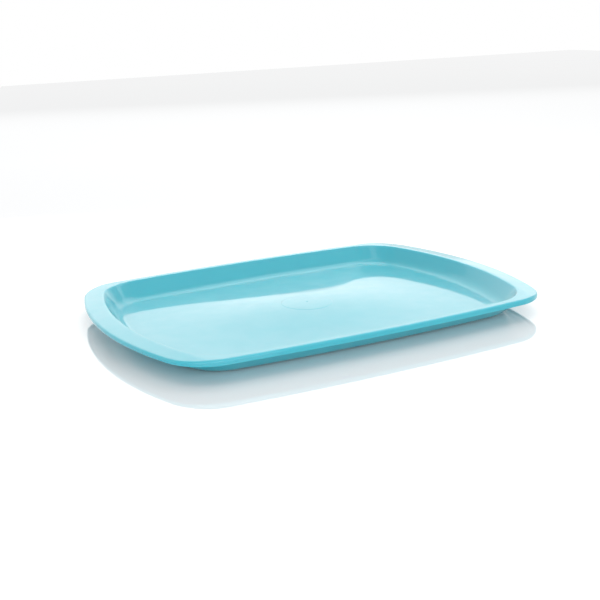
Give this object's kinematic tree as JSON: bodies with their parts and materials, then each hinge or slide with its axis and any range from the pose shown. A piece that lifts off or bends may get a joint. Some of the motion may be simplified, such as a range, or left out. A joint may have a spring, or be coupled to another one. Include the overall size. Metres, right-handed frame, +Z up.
{
  "type": "instrument tray",
  "caption": "Shallow rectangular plastic tray with bowed rim, raked end grips, leaning walls and a gently crowned floor.",
  "frame": {"origin": "middle of the footprint, on the surface that the tray stands on", "axes": "+X along the length towards one end grip, +Y along the width, +Z up out of the well"},
  "size_m": [0.34, 0.245, 0.0172],
  "materials": {
    "plastic": "smooth glossy turquoise"
  },
  "bodies": {
    "root": {"tray": "plastic"}
  },
  "joints": []
}
